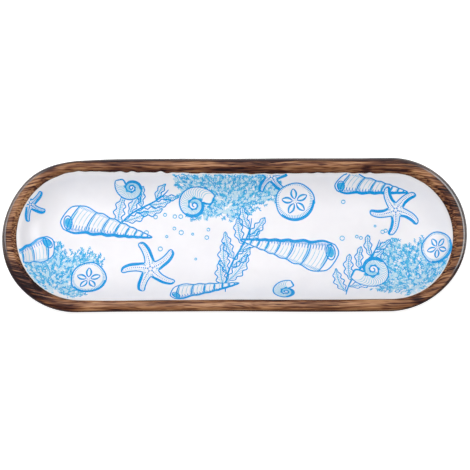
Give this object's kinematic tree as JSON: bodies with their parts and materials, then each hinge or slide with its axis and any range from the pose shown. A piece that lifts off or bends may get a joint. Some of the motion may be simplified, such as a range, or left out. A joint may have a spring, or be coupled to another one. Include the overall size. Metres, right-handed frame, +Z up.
{
  "type": "tea tray",
  "caption": "Oblong round-ended wooden serving tray with a flat base, a bare rounded rim and a carved hollow lined with printed white enamel under a clear gloss coat.",
  "frame": {"origin": "middle of the flat base, on the surface that the tray stands on", "axes": "+X along the tray, +Y across it, +Z up out of the hollow"},
  "size_m": [0.5, 0.166, 0.04],
  "materials": {
    "wood": "dark stained hardwood with its grain along the tray, satin lacquer",
    "enamel": "white enamel paint",
    "print": "thin white film printed in blue",
    "clear": "clear gloss resin"
  },
  "bodies": {
    "root": {"tray_body": "wood", "enamel_base": "enamel", "printed_film": "print", "clear_coat": "clear"}
  },
  "joints": []
}
